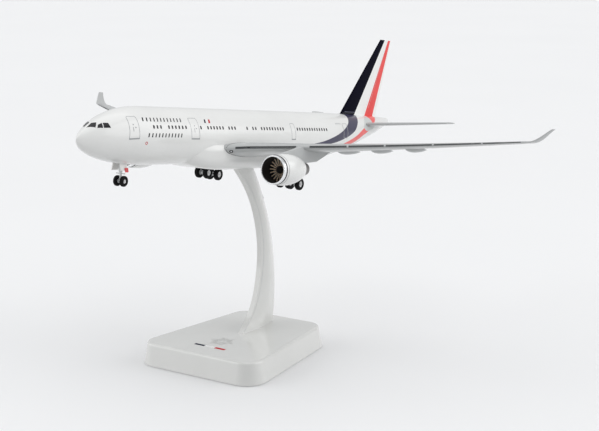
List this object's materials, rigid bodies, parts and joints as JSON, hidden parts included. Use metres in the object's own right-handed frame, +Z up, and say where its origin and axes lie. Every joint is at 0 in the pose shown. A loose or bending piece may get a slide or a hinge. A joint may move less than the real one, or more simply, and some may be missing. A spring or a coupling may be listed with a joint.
{
  "type": "desktop airliner model",
  "caption": "Twin-engined wide-body airliner model, nose up on a curved arm with a weighted wedge base; its fans and wheels turn and it lifts off the stand.",
  "frame": {"origin": "middle of the underside of the stand's base, on the surface it rests on", "axes": "+Z up, -X towards the nose, +Y to starboard"},
  "size_m": [0.2888, 0.3048, 0.1636],
  "materials": {
    "fuselage": "gloss white lacquer with printed markings",
    "wing": "gloss light grey lacquer",
    "fin": "gloss white with navy and red bands",
    "tailplane": "gloss light grey lacquer",
    "cowl": "gloss white lacquer",
    "lip": "plated, polished",
    "fan": "bronze paint on moulded blades",
    "core": "black moulded",
    "nozzle": "satin metal-grey paint",
    "gear": "satin light grey paint",
    "gear_door": "gloss white lacquer",
    "tag": "satin red paint",
    "axle": "drawn wire",
    "hub": "silver paint",
    "tyre": "matt black rubber",
    "stand": "gloss off-white moulding",
    "stand_plate": "satin moulding",
    "pad": "matt foam rubber sheet",
    "steel": "zinc-plated steel"
  },
  "bodies": {
    "stand": {"stand_base_shell": "stand", "stand_arm_port_half": "stand", "stand_arm_starboard_half": "stand", "stand_base_plate": "stand_plate", "stand_base_pad": "pad", "stand_ballast": "steel", "stand_tongue": "steel", "stand_arm_screws": "steel"},
    "aircraft": {"fuselage_port_half": "fuselage", "fuselage_starboard_half": "fuselage", "belly_fairing": "fuselage", "centre_block": "core", "fin": "fin", "nose_gear_leg": "gear", "nose_gear_doors": "gear_door", "nose_gear_tag": "tag", "wing_port": "wing", "winglet_port": "wing", "flap_fairings_port": "wing", "engine_pylon_port": "wing", "tailplane_port": "tailplane", "engine_cowl_port": "cowl", "intake_lip_port": "lip", "engine_core_port": "core", "exhaust_nozzle_port": "nozzle", "exhaust_plug_port": "nozzle", "main_leg_port": "gear", "bogie_beam_port": "gear", "main_door_port": "gear_door", "wing_starboard": "wing", "winglet_starboard": "wing", "flap_fairings_starboard": "wing", "engine_pylon_starboard": "wing", "tailplane_starboard": "tailplane", "engine_cowl_starboard": "cowl", "intake_lip_starboard": "lip", "engine_core_starboard": "core", "exhaust_nozzle_starboard": "nozzle", "exhaust_plug_starboard": "nozzle", "main_leg_starboard": "gear", "bogie_beam_starboard": "gear", "main_door_starboard": "gear_door"},
    "fan_port": {"fan_port": "fan"},
    "main_front_wheels_port": {"main_front_axle_port": "axle", "main_front_hubs_port": "hub", "main_front_tyres_port": "tyre"},
    "main_rear_wheels_port": {"main_rear_axle_port": "axle", "main_rear_hubs_port": "hub", "main_rear_tyres_port": "tyre"},
    "fan_starboard": {"fan_starboard": "fan"},
    "main_front_wheels_starboard": {"main_front_axle_starboard": "axle", "main_front_hubs_starboard": "hub", "main_front_tyres_starboard": "tyre"},
    "main_rear_wheels_starboard": {"main_rear_axle_starboard": "axle", "main_rear_hubs_starboard": "hub", "main_rear_tyres_starboard": "tyre"},
    "nose_wheels": {"nose_axle": "axle", "nose_hubs": "hub", "nose_tyres": "tyre"}
  },
  "joints": [
    {"name": "lift_off", "type": "slide", "parent": "stand", "child": "aircraft", "axis": [-0.5446, 0, 0.8387], "range_m": [0, 0.03]},
    {"name": "fan_port_spin", "type": "hinge", "parent": "aircraft", "child": "fan_port", "pos_m": [-0.03021, -0.04685, 0.11251], "axis": [0.992, 0, -0.1264], "continuous": true},
    {"name": "main_front_port_roll", "type": "hinge", "parent": "aircraft", "child": "main_front_wheels_port", "pos_m": [0.00386, -0.0269, 0.09916], "axis": [0, 1, 0], "continuous": true},
    {"name": "main_rear_port_roll", "type": "hinge", "parent": "aircraft", "child": "main_rear_wheels_port", "pos_m": [0.01347, -0.0269, 0.09681], "axis": [0, 1, 0], "continuous": true},
    {"name": "fan_starboard_spin", "type": "hinge", "parent": "aircraft", "child": "fan_starboard", "pos_m": [-0.03021, 0.04685, 0.11251], "axis": [0.992, 0, -0.1264], "continuous": true},
    {"name": "main_front_starboard_roll", "type": "hinge", "parent": "aircraft", "child": "main_front_wheels_starboard", "pos_m": [0.00386, 0.0269, 0.09916], "axis": [0, 1, 0], "continuous": true},
    {"name": "main_rear_starboard_roll", "type": "hinge", "parent": "aircraft", "child": "main_rear_wheels_starboard", "pos_m": [0.01347, 0.0269, 0.09681], "axis": [0, 1, 0], "continuous": true},
    {"name": "nose_roll", "type": "hinge", "parent": "aircraft", "child": "nose_wheels", "pos_m": [-0.09578, 0, 0.1122], "axis": [0, 1, 0], "continuous": true}
  ]
}
